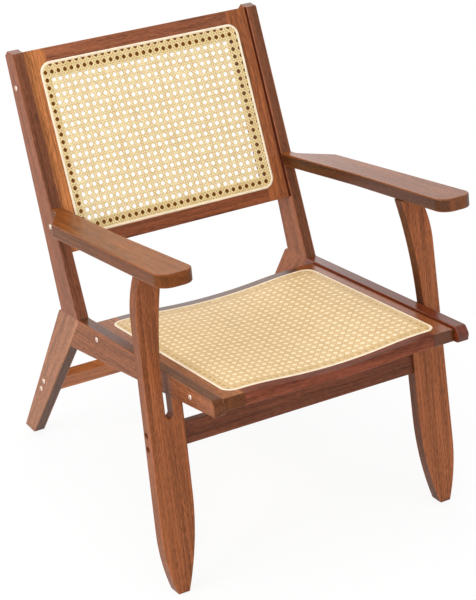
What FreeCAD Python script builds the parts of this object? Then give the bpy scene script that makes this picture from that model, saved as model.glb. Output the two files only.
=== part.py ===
import FreeCAD, Part
import math
import os

# Lounge chair of laminated hardwood with a cane back and a cane seat.
# Millimetres and degrees. X is the width, -Y the front, +Z up, the floor is Z = 0.
# Depths are first measured back from the front toes and centred at the very end.

# Side frames: back post, side rail and rear leg glued flush in one plane
frame_width = 570.0            # outside to outside of the two side frames
frame_thickness = 25.0         # stock thickness of post, rail and rear leg
frame_edge = 1.6               # rounding of the sanded edges
junction_setback = 457.4       # front toe to the foot of the post's front face
junction_height = 378.3        # floor to the top of the rail at the post
rail_slope = 7.46              # rise of the side rail towards the front
rail_depth_rear = 68.0         # depth of the rail at the junction
rail_depth_front = 30.5        # depth of the rail at its front end
rail_nose = 11.0               # how far the rounded nose stands past the top corner
rail_nose_radius = 9.0
rail_joint_lead = 6.0          # top of the rail's glue line in front of the post
post_lean = 26.7               # lean of the post and of the back panel
post_height = 863.0            # floor to the flat top of the post
post_seat_length = 73.2        # length of the post's foot along the rail line
post_top_length = 23.5         # flat top of the post
post_top_bevel = 15.5          # length of the bevel behind the flat top
post_top_bevel_angle = 50.0    # fall of that bevel
post_corner_radius = 3.0
rear_leg_splay = 32.4          # front edge of the rear leg from the vertical
rear_foot_setback = 688.0      # front toe to the front edge of the rear foot
rear_foot_length = 42.0
rear_leg_top_length = 83.2     # junction to the leg's rear top corner, along the rail line
rear_leg_corner_radius = 12.0

# Front legs: planks that fork around the side rail
front_leg_thickness = 27.0
front_leg_tilt = 12.27         # backward lean of the plank
leg_prong_gap = 1.6            # inner edge of the leg outside the rail's inner face, at the top
leg_inner_flare = 2.4          # outward drift of the inner edge down to the sweep
leg_prong_width = 21.4
leg_slot_width = 17.6
leg_slot_bottom = 349.5        # toe to the bottom of the slot, along the plank
leg_slot_straight = 40.0       # slot bottom to the start of the upper sweep
leg_blade_width = 34.5         # outer blade beside the slot
leg_blade_drift = 5.6          # outward drift of the outer edge down the leg
leg_outer_sweep_top = 547.0    # height at which the outer edge turns in
leg_top_inset = 25.0           # how far the outer edge turns in at the armrest
leg_top_width = 43.0           # width of the blade under the armrest
leg_sweep_inner = 194.0        # height at which the inner edge turns towards the foot
leg_sweep_outer = 128.0        # height at which the outer edge turns towards the foot
foot_width = 23.8
foot_inset = 20.0              # outer edge of the foot inside the leg's outer edge
foot_trim = 1.5                # sawn off the foot to stand level
front_leg_edge = 1.4           # bevel of the plank's edges

# Armrests
arm_thickness = 26.4
arm_slope = 10.3               # rise towards the front
arm_height = 581.6             # floor to the arm's top where it meets the post
arm_length = 561.0             # post to front edge, along the arm
arm_neck_length = 24.0         # part behind the flare that is as wide as the post
arm_flare_length = 76.0
arm_flare_width = 48.0         # how far the outer edge flares out
arm_outer_drift = 12.5         # further widening from the flare to the front
arm_inner_drift = 11.0         # inner edge's drift away from the seat
arm_inner_drift_length = 260.0
arm_inner_return = 1.0         # how far the inner edge comes back by the front
arm_front_radius = 28.0
arm_flare_radius = 18.0
arm_edge = 3.0

# Cane panels
panel_thickness = 25.0
panel_side_gap = 0.4           # between a panel and the side frames
panel_edge = 1.0               # bevel of the panel's edges
back_recess = 6.7              # panel face behind the front of the posts
back_length = 410.0            # along the lean
back_top_drop = 1.6            # panel top below the top of the posts
back_stile_width = 47.5
back_bottom_rail_width = 52.0
back_top_rail_width = 60.5
back_margin = 28.0             # panel edge to the groove
seat_recess = 4.5              # panel top below the rail's top
seat_length = 496.5            # along the rail
seat_front_setback = 3.0       # panel's front edge behind the rail's top corner
seat_rear_gap = 24.5           # panel's rear edge in front of the post's foot
seat_stile_width = 47.5
seat_rail_width = 50.0
seat_margin = 22.5
seat_dish_front = 10.5         # hollow of the front rail at mid width
seat_dish_rear = 10.0          # hollow of the rear rail
dish_middle_share = 0.58       # part of the hollow's width that its middle arc takes
seat_backing = 3.0             # pale board under the seat's cane
seat_belly = 5.0               # bow of the seat rails' lower edge
groove_width = 5.8
groove_depth = 6.0
groove_radius = 24.0           # outer corner radius of the groove
spline_stand = 1.0             # spline above the wood
cane_thickness = 1.2
back_mesh_across = 12          # openings across the back's cane, coarser than its weave
back_mesh_up = 9
back_mesh_share = 0.7          # side of an opening as a share of its spacing
fit_gap = 0.1                  # side clearance of glued and pressed pieces

# Stretchers
stretcher_thickness = 18.0
front_stretcher_depth = 44.5
rear_stretcher_depth = 50.0
stretcher_inset = 2.0            # front stretcher inside the rear face of the legs
front_stretcher_height = 310.3   # toe to mid depth, along the front leg
rear_stretcher_height = 145.8    # floor to mid depth
rear_stretcher_setback = 36.5    # behind the front edge of the rear leg

# Fasteners and dowels
bolt_diameter = 6.0
bolt_hole_gap = 0.25           # radial clearance of a bolt in its hole
bolt_head_diameter = 11.5
bolt_head_height = 2.4
bolt_rim_height = 0.8
bolt_reach = 14.0              # bolt inside an insert
insert_diameter = 10.0
insert_length = 15.0
nut_diameter = 10.0
nut_length = 14.0
nut_setback = 30.0             # stretcher's end to the barrel nut's axis
bolt_past_nut = 6.0
stretcher_bolt_spacing = 28.0
counterbore_diameter = 12.5
counterbore_depth = 40.0
back_bolt_top = 67.0           # panel's top to the upper bolt
back_bolt_bottom = 60.0        # panel's bottom to the lower bolt
seat_bolt_front = 74.0         # panel's front to the front bolt
seat_bolt_rear = 55.0
dowel_diameter = 8.0
dowel_length = 50.0
dowel_gap = 0.1                # radial clearance of a dowel
dowel_end_gap = 0.5
arm_dowel_depth = 15.0         # front leg dowels inside the armrest
leg_dowel_spacing = 17.0
leg_dowel_shift = 5.0          # outward from the middle of the leg's narrow top
panel_dowel_spacing = 26.0
post_dowel_spacing = 40.0
rail_dowel_spacing = 27.0
rail_dowel_shift = 13.0        # rail dowels below mid joint, clear of the post's dowels

# Floor glides
glide_diameter = 14.0
glide_stand = 3.0
glide_pin_diameter = 2.6
glide_pin_length = 12.0

V = FreeCAD.Vector
X_AXIS = V(1, 0, 0)
FAR = 2000.0                   # longer than any cut needs
cut_allowance = 6.0            # stock left for a trimming cut

half_out = frame_width / 2
half_in = half_out - frame_thickness
frame_mid = (half_out + half_in) / 2
panel_half = half_in - panel_side_gap


def sin(angle):
    return math.sin(math.radians(angle))


def cos(angle):
    return math.cos(math.radians(angle))


def tan(angle):
    return math.tan(math.radians(angle))


def meet(p, p_direction, q, q_direction):
    """Point where two lines of the side view cross."""
    cross = p_direction.y * q_direction.z - p_direction.z * q_direction.y
    gap = q - p
    step = (gap.y * q_direction.z - gap.z * q_direction.y) / cross
    return p + p_direction * step


def rounded_wire(corners):
    """Closed wire through (point, radius) corners that lie in one plane."""
    points = [corner[0] for corner in corners]
    starts, mids, ends = [], [], []
    for i, (here, radius) in enumerate(corners):
        back = (points[i - 1] - here).normalize()
        ahead = (points[(i + 1) % len(points)] - here).normalize()
        half = back.getAngle(ahead) / 2
        starts.append(here + back * (radius / math.tan(half)))
        ends.append(here + ahead * (radius / math.tan(half)))
        middle = (back + ahead).normalize() if radius else V()
        mids.append(here + middle * (radius / math.sin(half) - radius))
    edges = []
    for i, (here, radius) in enumerate(corners):
        edges.append(Part.LineSegment(ends[i - 1], starts[i]).toShape())
        if radius:
            edges.append(Part.Arc(starts[i], mids[i], ends[i]).toShape())
    return Part.Wire(edges)


def prism(wire, direction):
    return Part.Face(wire).extrude(direction)


def tangent_arc(start, direction, end):
    """Arc that leaves start along direction and reaches end."""
    ahead = V(direction).normalize()
    reach = end - start
    side = (reach - ahead * reach.dot(ahead)).normalize()
    radius = reach.dot(reach) / (2 * reach.dot(side))
    centre = start + side * radius
    middle = ((start - centre) + (end - centre)).normalize()
    return Part.Arc(start, centre + middle * radius, end).toShape()


def mirrored(shape):
    return shape.mirror(V(), X_AXIS)


def rod(point, direction, length, diameter):
    return Part.makeCylinder(diameter / 2, length, point, direction)


def dowel_pair(point, direction, before=None, after=None):
    """A dowel across a joint and the two stopped holes it sits in."""
    before = dowel_length / 2 if before is None else before
    after = dowel_length / 2 if after is None else after
    axis = V(direction).normalize()
    length = before + after
    start = point - axis * before
    hole_start = start - axis * dowel_end_gap
    hole = rod(hole_start, axis, length + 2 * dowel_end_gap, dowel_diameter + 2 * dowel_gap)
    return rod(start, axis, length, dowel_diameter), hole


# Directions and points of the side view that several pieces share
junction = V(0, junction_setback, junction_height)
rail_forward = V(0, -cos(rail_slope), sin(rail_slope))
rail_up = V(0, sin(rail_slope), cos(rail_slope))
post_up = V(0, sin(post_lean), cos(post_lean))
post_front = V(0, -cos(post_lean), sin(post_lean))
rail_length = seat_length + seat_rear_gap + seat_front_setback   # to the rail's top front corner
rail_bottom_rear = junction - rail_up * rail_depth_rear
rail_bottom_front = junction + rail_forward * rail_length - rail_up * rail_depth_front
rail_bottom_line = rail_bottom_front - rail_bottom_rear
rear_foot_front = V(0, rear_foot_setback, glide_stand)
rear_leg_front_line = V(0, sin(rear_leg_splay), -cos(rear_leg_splay))
crotch = meet(rail_bottom_rear, rail_bottom_line, rear_foot_front, rear_leg_front_line)
joint_top = junction + rail_forward * rail_joint_lead
joint_way = (crotch - joint_top).normalize()
rear_leg_top = junction - rail_forward * rear_leg_top_length
rear_foot_rear = rear_foot_front + V(0, rear_foot_length, 0)
rear_leg_rear_line = (rear_foot_rear - rear_leg_top).normalize()
rear_leg_axis = (rear_leg_front_line + rear_leg_rear_line).normalize()

# Local frames: x across, y along the piece, z out of its show face
back_place = FreeCAD.Placement(
    junction + post_up * ((post_height - junction_height) / cos(post_lean) - back_top_drop
                          + back_recess * tan(post_lean) - back_length) - post_front * back_recess,
    FreeCAD.Rotation(X_AXIS, 90 - post_lean))
seat_place = FreeCAD.Placement(
    junction + rail_forward * (rail_length - seat_front_setback) - rail_up * seat_recess,
    FreeCAD.Rotation(X_AXIS, -rail_slope))
leg_place = FreeCAD.Placement(V(0, 0, glide_stand), FreeCAD.Rotation(X_AXIS, 90 - front_leg_tilt))
arm_place = FreeCAD.Placement(
    V(0, junction_setback + tan(post_lean) * (arm_height - junction_height), arm_height),
    FreeCAD.Rotation(X_AXIS, -arm_slope))
stretcher_mid_depth = stretcher_inset + stretcher_thickness / 2 - front_leg_thickness
stretcher_front_centre = leg_place.multVec(
    V(0, front_stretcher_height, stretcher_mid_depth))
stretcher_rear_centre = V(
    0,
    rear_foot_setback - tan(rear_leg_splay) * (rear_stretcher_height - glide_stand)
    + rear_stretcher_setback,
    rear_stretcher_height)
rear_stretcher_place = FreeCAD.Placement(
    stretcher_rear_centre,
    FreeCAD.Rotation(X_AXIS, math.degrees(math.atan2(-rear_leg_axis.z, -rear_leg_axis.y))))
front_stretcher_place = FreeCAD.Placement(stretcher_front_centre, leg_place.Rotation)

leg_up = V(0, sin(front_leg_tilt), cos(front_leg_tilt))
leg_toe = V(0, 0, glide_stand)
leg_heart = leg_place.multVec(V(0, 0, -front_leg_thickness / 2))
arm_back = V(0, cos(arm_slope), -sin(arm_slope))


def plank_height(point, direction):
    """Height along the front leg's face at which it crosses a line of the side view."""
    return (meet(leg_toe, leg_up, point, direction) - leg_toe).Length


# Edges of the front leg, in the plank's own x and y
prong_height = plank_height(rail_bottom_rear, rail_bottom_line) + cut_allowance
leg_inner = half_in + leg_prong_gap
leg_slot_inner = leg_inner + leg_prong_width
leg_slot_outer = leg_slot_inner + leg_slot_width
leg_outer = leg_slot_outer + leg_blade_width
leg_outer_low = leg_outer + leg_blade_drift
leg_inner_low = leg_inner + leg_inner_flare
leg_top_outer = leg_outer - leg_top_inset
leg_top_inner = leg_top_outer - leg_top_width


def placed(shape, place):
    copy = shape.copy()
    copy.Placement = place.multiply(copy.Placement)
    return copy


def slab_above(place, offset):
    """Everything on the show side of a local frame, from an offset outwards."""
    return placed(Part.makeBox(2 * FAR, 2 * FAR, FAR, V(-FAR, -FAR, offset)), place)


def side_frame():
    """Right side frame: one eased blank, parted on its glue lines."""
    post_rear_foot = junction - rail_forward * post_seat_length
    post_top_front = junction + post_up * ((post_height - junction_height) / cos(post_lean))
    post_top_rear = post_top_front + V(0, post_top_length, 0)
    post_bevel_end = post_top_rear + V(0, cos(post_top_bevel_angle),
                                       -sin(post_top_bevel_angle)) * post_top_bevel
    rail_top_front = junction + rail_forward * rail_length
    rail_nose_tip = (rail_top_front + rail_bottom_front) * 0.5 + rail_forward * rail_nose
    outline = rounded_wire([
        (junction, 0), (post_top_front, post_corner_radius), (post_top_rear, post_corner_radius),
        (post_bevel_end, post_corner_radius), (post_rear_foot, 0),
        (rear_leg_top, rear_leg_corner_radius), (rear_foot_rear, 0), (rear_foot_front, 0),
        (crotch, 0), (rail_bottom_front + rail_forward * (rail_nose * 0.7), rail_nose_radius * 0.5),
        (rail_nose_tip, rail_nose_radius), (rail_top_front, rail_nose_radius)])
    outline.translate(V(half_in, 0, 0))
    blank = prism(outline, V(frame_thickness, 0, 0))
    rim = [edge for edge in blank.Edges
           if edge.BoundBox.XLength < frame_thickness / 2 and edge.BoundBox.ZMin > glide_stand + 1]
    rim += [edge for edge in blank.Edges
            if edge.BoundBox.XLength < frame_thickness / 2 and edge.BoundBox.ZLength > FAR / 10
            and edge.BoundBox.ZMin < glide_stand + 1]
    blank = blank.makeFillet(frame_edge, rim)
    seat_end, sky = junction - rail_forward * FAR, V(0, 0, FAR)
    over_seat = prism(Part.makePolygon(
        [junction, seat_end, seat_end + sky, junction + sky, junction]), V(FAR, 0, 0))
    post = blank.common(over_seat)
    lower = blank.cut(over_seat)
    above, below = joint_top - joint_way * FAR, joint_top + joint_way * FAR
    behind = Part.makePolygon([above, below, below + V(0, FAR, 0), above + V(0, FAR, 0), above])
    behind_joint = prism(behind, V(FAR, 0, 0))
    return post, lower.cut(behind_joint), lower.common(behind_joint)


def front_leg():
    """Right front leg: a forked plank with swept edges and a small foot."""
    height = plank_height(arm_place.multVec(V(0, 0, -arm_thickness)), arm_back) + cut_allowance
    foot_outer = V(leg_outer_low - foot_inset, -foot_trim, 0)
    foot_inner = foot_outer - V(foot_width, 0, 0)
    outer_low = V(leg_outer_low, leg_sweep_outer, 0)
    outer_high = V(leg_outer, leg_outer_sweep_top, 0)
    inner_low = V(leg_inner_low, leg_sweep_inner, 0)
    slot_low = leg_slot_bottom + leg_slot_width / 2
    prong_top = V(leg_inner, prong_height, 0)
    blade_start = V(leg_slot_outer, leg_slot_bottom + leg_slot_straight, 0)
    outer_top = V(leg_top_outer, height, 0)
    inner_top = V(leg_top_inner, height, 0)
    slot_mid = (leg_slot_inner + leg_slot_outer) / 2
    upward = outer_high - outer_low
    edges = [
        Part.LineSegment(foot_inner, foot_outer).toShape(),
        tangent_arc(outer_low, outer_low - outer_high, foot_outer),
        Part.LineSegment(outer_low, outer_high).toShape(),
        tangent_arc(outer_high, upward, outer_top),
        Part.LineSegment(outer_top, inner_top).toShape(),
        tangent_arc(blade_start, V(0, 1, 0), inner_top),
        Part.LineSegment(blade_start, V(leg_slot_outer, slot_low, 0)).toShape(),
        Part.Arc(V(leg_slot_outer, slot_low, 0), V(slot_mid, leg_slot_bottom, 0),
                 V(leg_slot_inner, slot_low, 0)).toShape(),
        Part.LineSegment(V(leg_slot_inner, slot_low, 0), V(leg_slot_inner, prong_top.y, 0)).toShape(),
        Part.LineSegment(V(leg_slot_inner, prong_top.y, 0), prong_top).toShape(),
        Part.LineSegment(prong_top, inner_low).toShape(),
        tangent_arc(inner_low, inner_low - prong_top, foot_inner)]
    outline = Part.Wire(Part.__sortEdges__(edges))
    plank = prism(outline, V(0, 0, -front_leg_thickness))
    rim = [edge for edge in plank.Edges if edge.BoundBox.ZLength < 1 and edge.BoundBox.YLength > 1]
    plank = placed(plank.makeChamfer(front_leg_edge, rim), leg_place)
    floor = Part.makeBox(2 * FAR, 2 * FAR, FAR, V(-FAR, -FAR, glide_stand - FAR))
    under_rail = FreeCAD.Placement(
        rail_bottom_rear,
        FreeCAD.Rotation(X_AXIS, -math.degrees(math.atan2(rail_bottom_line.z, -rail_bottom_line.y))))
    over_rail = placed(Part.makeBox(slot_mid, 2 * FAR, 4 * cut_allowance, V(0, -FAR, 0)), under_rail)
    plank = plank.cut(floor).cut(over_rail)
    return plank.cut(slab_above(arm_place, -arm_thickness))


def armrest():
    """Right armrest: narrow at the post, flared outside, round at the front."""
    front = -arm_length
    flare_start = -arm_neck_length
    flare_end = flare_start - arm_flare_length
    outer = half_out + arm_flare_width
    drift_end = -arm_inner_drift_length
    outline = rounded_wire([
        (V(half_in, arm_thickness, 0), 0), (V(half_out, arm_thickness, 0), 0),
        (V(half_out, flare_start, 0), arm_flare_radius), (V(outer, flare_end, 0), arm_flare_radius),
        (V(outer + arm_outer_drift, front, 0), arm_front_radius),
        (V(half_in + arm_inner_drift - arm_inner_return, front, 0), arm_front_radius),
        (V(half_in + arm_inner_drift, drift_end, 0), 0), (V(half_in, 0, 0), 0)])
    plank = prism(outline, V(0, 0, -arm_thickness))
    rim = [edge for edge in plank.Edges if edge.BoundBox.ZLength < 1]
    plank = placed(plank.makeFillet(arm_edge, rim), arm_place)
    post_plane = FreeCAD.Placement(junction, FreeCAD.Rotation(X_AXIS, 90 - post_lean))
    behind_post = placed(Part.makeBox(2 * FAR, 2 * FAR, FAR, V(-FAR, -FAR, -FAR)), post_plane)
    return plank.cut(behind_post)


def dish_profile(half_span, dish, low, high, place):
    """Wire across a panel between two offsets of its surface, hollowed within half_span.

    The hollow is an arc in the middle that meets, on each side, an arc running out level.
    """
    def curve(offset):
        def point(x, drop=0.0):
            return V(x, place, offset - drop)
        if not dish:
            return [Part.LineSegment(point(-panel_half), point(panel_half)).toShape()]
        turn = math.atan(dish / half_span)
        end_radius = (1 - dish_middle_share) * half_span / math.sin(2 * turn)
        end_middle = half_span - end_radius * math.sin(turn), end_radius * (1 - math.cos(turn))
        meeting = dish_middle_share * half_span, (1 - dish_middle_share) * dish
        edges = [Part.Arc(point(-meeting[0], meeting[1]), point(0, dish), point(*meeting))]
        for side in (-1, 1):
            level_end = point(side * half_span)
            edges += [Part.Arc(point(side * meeting[0], meeting[1]),
                               point(side * end_middle[0], end_middle[1]), level_end),
                      Part.LineSegment(level_end, point(side * panel_half))]
        return [edge.toShape() for edge in edges]

    ends = [Part.LineSegment(V(side, place, low), V(side, place, high)).toShape()
            for side in (-panel_half, panel_half)]
    return Part.Wire(Part.__sortEdges__(curve(low) + curve(high) + ends))


def dish_band(half_span, dish, low, high, start, length):
    """Band between two offsets of the panel's surface, from start on along the panel."""
    return prism(dish_profile(half_span, dish, low, high, start), V(0, length, 0))


def changing_band(half_span, dishes, low, high, starts, ends):
    """Band whose hollow is even over both rails and changes evenly between them."""
    over_rails = [dish_band(half_span, dish, low, high, start, end - start)
                  for dish, start, end in zip(dishes, starts, ends)]
    between = Part.makeLoft([dish_profile(half_span, dishes[0], low, high, ends[0]),
                             dish_profile(half_span, dishes[1], low, high, starts[1])], True, True)
    return over_rails[0].fuse([between, over_rails[1]])


def ring_outline(inset, radius, length):
    low, high = -panel_half + inset, panel_half - inset
    corners = [V(low, inset, 0), V(high, inset, 0), V(high, length - inset, 0),
               V(low, length - inset, 0)]
    wire = rounded_wire([(corner, radius) for corner in corners])
    wire.translate(V(0, 0, -panel_thickness))
    return prism(wire, V(0, 0, 2 * panel_thickness))


def panel_blank(half_span, dish, belly, length):
    """Whole panel before it is parted: hollowed top and bowed underside."""
    return dish_band(half_span, dish, -3 * panel_thickness, 0, 0, length).common(
        dish_band(half_span, belly, -panel_thickness, panel_thickness, 0, length))


def eased_member(member, half_span, length):
    """A panel's rail or stile with its outer edges bevelled, up to its joints."""
    def on_rim(edge):
        centre = edge.CenterOfMass
        outside = abs(centre.x) > panel_half - 0.1 or not 0.1 < centre.y < length - 0.1
        return outside and abs(abs(centre.x) - half_span) > 0.1
    return member.makeChamfer(panel_edge, [edge for edge in member.Edges if on_rim(edge)])


def cane_panel(length, stile_width, rail_widths, margin, dishes, belly):
    """Frame, cane and spline of one panel, flat on its local frame.

    rail_widths and dishes are those of the rail at the local origin and of the other one.
    """
    half_span = panel_half - stile_width
    rail_starts = (0.0, length - rail_widths[1])
    rail_ends = (rail_widths[0], length)
    halves = (0.0, length / 2)

    def halved(ring, low, high):
        """The two halves of a ring that follows the panel's surface."""
        return [ring.common(dish_band(half_span, dish, low, high, start, length / 2))
                for dish, start in zip(dishes, halves)]

    groove_ring = ring_outline(margin, groove_radius, length).cut(
        ring_outline(margin + groove_width, groove_radius - groove_width, length))
    grooves = halved(groove_ring, -groove_depth, panel_thickness / 2)
    spline_ring = ring_outline(margin + fit_gap, groove_radius - fit_gap, length).cut(
        ring_outline(margin + groove_width - fit_gap, groove_radius - groove_width + fit_gap, length))
    spline_low, spline_high = halved(spline_ring, -groove_depth, spline_stand)
    cane_edge = ring_outline(margin + groove_width, groove_radius - groove_width, length)
    sheet = changing_band(half_span, dishes, 0, cane_thickness, rail_starts, rail_ends)
    opening = Part.makeBox(2 * half_span, rail_starts[1] - rail_ends[0], 4 * panel_thickness,
                           V(-half_span, rail_ends[0], -2 * panel_thickness))
    backing = changing_band(half_span, dishes, -seat_backing, 0, rail_starts, rail_ends).common(opening)
    dowels, holes = [], []
    for start, end, dish in zip(rail_starts, rail_ends, dishes):
        for shift in (-0.5, 0.5):
            place = V(half_span, (start + end) / 2 + shift * panel_dowel_spacing,
                      -panel_thickness / 2 - dish / 4)
            dowel, hole = dowel_pair(place, X_AXIS)
            dowels += [dowel, mirrored(dowel)]
            holes += [hole, mirrored(hole)]
    deep = 4 * panel_thickness

    def rail(start, end, dish):
        """A rail, eased while it is still too long and then trimmed to the stiles."""
        rough_half = half_span + cut_allowance
        rough, trim = [Part.makeBox(2 * half, end - start, deep, V(-half, start, -deep / 2))
                       for half in (rough_half, half_span)]
        blank = panel_blank(half_span, dish, belly, length).common(rough)
        return cut_all(eased_member(blank, rough_half, length).common(trim), holes + grooves)

    stile_box = Part.makeBox(stile_width + 1, length, deep, V(-panel_half - 1, 0, -deep / 2))
    left_stile = panel_blank(half_span, 0.0, 0.0, length).common(stile_box)
    left_stile = cut_all(eased_member(left_stile, half_span, length), holes + grooves)
    low_rail, high_rail = [rail(*member) for member in zip(rail_starts, rail_ends, dishes)]
    return {"low_rail": low_rail, "high_rail": high_rail,
            "left_stile": left_stile, "right_stile": mirrored(left_stile), "backing": backing,
            "cane": cane_edge.common(sheet).removeSplitter(),
            "spline": spline_low.fuse(spline_high).removeSplitter(), "dowels": dowels}


def open_mesh(cane):
    """The back's cane, flat on its local frame, with a plain grid of openings."""
    across = 2 * (panel_half - back_stile_width) / back_mesh_across
    up = (back_length - back_bottom_rail_width - back_top_rail_width) / back_mesh_up
    opening = Part.makeBox(across * back_mesh_share, up * back_mesh_share, panel_thickness)
    corner = V(across * (0.5 - back_mesh_share / 2) - across * back_mesh_across / 2,
               up * (0.5 - back_mesh_share / 2) + back_bottom_rail_width, -panel_thickness / 2)
    return cut_all(cane, [placed(opening, FreeCAD.Placement(corner + V(column * across, row * up, 0),
                                                            FreeCAD.Rotation()))
                          for column in range(back_mesh_across) for row in range(back_mesh_up)])


def bolt(seat, length):
    """Right-hand bolt: domed head outside the seat point, shank towards -X."""
    radius = bolt_head_diameter / 2
    rise = bolt_head_height - bolt_rim_height
    dome_radius = (radius ** 2 + rise ** 2) / (2 * rise)
    dome = Part.makeSphere(dome_radius, seat + V(bolt_head_height - dome_radius, 0, 0))
    head = rod(seat, X_AXIS, bolt_head_height, bolt_head_diameter).common(dome)
    return head.fuse(rod(seat, V(-1, 0, 0), length, bolt_diameter))


def bolt_hole(seat, length):
    return rod(seat + V(1, 0, 0), V(-1, 0, 0), length + 1, bolt_diameter + 2 * bolt_hole_gap)


def insert(face):
    """Threaded insert sunk in a panel's edge at a face point."""
    body = rod(face, V(-1, 0, 0), insert_length, insert_diameter)
    return body.cut(rod(face, V(-1, 0, 0), insert_length, bolt_diameter + 2 * bolt_hole_gap))


def glide(foot):
    """Nail-on glide under a foot point on the floor."""
    disc = Part.makeCone(glide_diameter / 2 - glide_stand / 3, glide_diameter / 2, glide_stand, foot)
    return disc.fuse(rod(foot, V(0, 0, 1), glide_stand + glide_pin_length, glide_pin_diameter))


def glide_hole(foot):
    return rod(foot, V(0, 0, 1), glide_stand + glide_pin_length + dowel_end_gap,
               glide_pin_diameter + 2 * fit_gap)


def both(shapes):
    """Right-hand pieces with their mirrored copies, as one group."""
    return Part.makeCompound([piece for shape in shapes for piece in (shape, mirrored(shape))])


def cut_all(shape, tools):
    return shape.cut(Part.makeCompound(tools)) if tools else shape


def rear_stretcher():
    """Stretcher between the rear legs, in line with them."""
    box = Part.makeBox(2 * half_in, rear_stretcher_depth, stretcher_thickness,
                       V(-half_in, -rear_stretcher_depth / 2, -stretcher_thickness / 2))
    return placed(box, rear_stretcher_place)


def front_stretcher(leg):
    """Stretcher between the front legs, trimmed to their inner edges."""
    box = Part.makeBox(2 * leg_slot_inner, front_stretcher_depth, stretcher_thickness,
                       V(-leg_slot_inner, -front_stretcher_depth / 2, -stretcher_thickness / 2))
    return cut_all(placed(box, front_stretcher_place), [leg, mirrored(leg)])


# Side frames, legs and arms, right-hand side first
post, rail, rear_leg = side_frame()
leg = front_leg()
arm = armrest()
front_bar = front_stretcher(leg)
rear_bar = rear_stretcher()
back = cane_panel(back_length, back_stile_width, (back_bottom_rail_width, back_top_rail_width),
                  back_margin, (0.0, 0.0), 0.0)
back["cane"] = open_mesh(back["cane"])
seat = cane_panel(seat_length, seat_stile_width, (seat_rail_width, seat_rail_width), seat_margin,
                  (seat_dish_front, seat_dish_rear), seat_belly)
back = {name: [placed(item, back_place) for item in piece] if name == "dowels"
        else placed(piece, back_place) for name, piece in back.items()}
seat = {name: [placed(item, seat_place) for item in piece] if name == "dowels"
        else placed(piece, seat_place) for name, piece in seat.items()}

# Glue joints: dowels of the side frame, the front leg and the armrest
frame_dowels, frame_holes = [], []
for shift in (-0.5, 0.5):
    post_point = junction - rail_forward * (post_seat_length / 2 + shift * post_dowel_spacing)
    rail_point = (joint_top + crotch) * 0.5 + joint_way * (rail_dowel_shift + shift * rail_dowel_spacing)
    for point, way in ((post_point, rail_up), (rail_point, rail_forward)):
        dowel, hole = dowel_pair(V(frame_mid, point.y, point.z), way)
        frame_dowels.append(dowel)
        frame_holes.append(hole)
prong_point = meet(leg_heart, leg_up, rail_bottom_rear, rail_bottom_line)
prong_point.x = (leg_inner + leg_slot_inner) / 2
prong_dowel, prong_hole = dowel_pair(prong_point, leg_up)
arm_under = meet(leg_heart, leg_up, arm_place.multVec(V(0, 0, -arm_thickness)), arm_back)
leg_dowels, leg_holes = [prong_dowel], [prong_hole]
for shift in (-0.5, 0.5):
    arm_under.x = (leg_top_inner + leg_top_outer) / 2 + leg_dowel_shift + shift * leg_dowel_spacing
    dowel, hole = dowel_pair(arm_under, leg_up, dowel_length - arm_dowel_depth, arm_dowel_depth)
    leg_dowels.append(dowel)
    leg_holes.append(hole)
arm_end = V(frame_mid, -arm_thickness / 2 * tan(post_lean - arm_slope), -arm_thickness / 2)
arm_dowel, arm_hole = dowel_pair(arm_place.multVec(arm_end), arm_back)

# Bolts of the panels, with their inserts
panel_bolt_length = frame_thickness + panel_side_gap + bolt_reach
back_bolts, seat_bolts, inserts, back_holes, seat_holes, insert_holes = [], [], [], [], [], []
for place, heights, bolts, holes in (
        (back_place, (back_length - back_bolt_top, back_bolt_bottom), back_bolts, back_holes),
        (seat_place, (seat_bolt_front, seat_length - seat_bolt_rear), seat_bolts, seat_holes)):
    for height in heights:
        head = place.multVec(V(half_out, height, -panel_thickness / 2))
        face = V(panel_half, head.y, head.z)
        bolts.append(bolt(head, panel_bolt_length))
        holes.append(bolt_hole(head, frame_thickness + 1))
        inserts.append(insert(face))
        insert_holes.append(rod(face + X_AXIS, V(-1, 0, 0), insert_length + 1 + dowel_end_gap,
                                insert_diameter + 2 * fit_gap))

# Bolts of the stretchers, with their barrel nuts
rear_bolts, front_bolts, nuts, rear_holes, front_holes, nut_holes = [], [], [], [], [], []
for place, end, head_x, bolts, holes in (
        (rear_stretcher_place, half_in, half_out, rear_bolts, rear_holes),
        (front_stretcher_place, leg_inner, leg_outer_low - counterbore_depth, front_bolts, front_holes)):
    for shift in (-0.5, 0.5):
        head = place.multVec(V(head_x, shift * stretcher_bolt_spacing, 0))
        length = head_x - end + nut_setback + bolt_past_nut
        bolts.append(bolt(head, length))
        holes.append(bolt_hole(head, length + dowel_end_gap))
        out = place.Rotation.multVec(V(0, 0, 1))
        nut_centre = V(end - nut_setback, head.y, head.z)
        nut_start = nut_centre - out * (nut_length / 2)
        nut = rod(nut_start, out, nut_length, nut_diameter)
        nuts.append(nut.cut(holes[-1]))
        nut_holes.append(rod(nut_centre - out * stretcher_thickness, out,
                             stretcher_thickness + nut_length / 2, nut_diameter + 2 * fit_gap))
sinks = [rod(V(leg_outer_low - counterbore_depth, head.y, head.z), X_AXIS, FAR, counterbore_diameter)
         for head in (front_stretcher_place.multVec(V(0, shift * stretcher_bolt_spacing, 0))
                      for shift in (-0.5, 0.5))]

# Glides under the feet
foot_middle = leg_outer_low - foot_inset - foot_width / 2
glide_points = [V(foot_middle, front_leg_thickness / cos(front_leg_tilt) / 2, 0),
                V(frame_mid, rear_foot_setback + rear_foot_length / 2, 0)]
glides = [glide(point) for point in glide_points]
glide_holes = [glide_hole(point) for point in glide_points]

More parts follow.
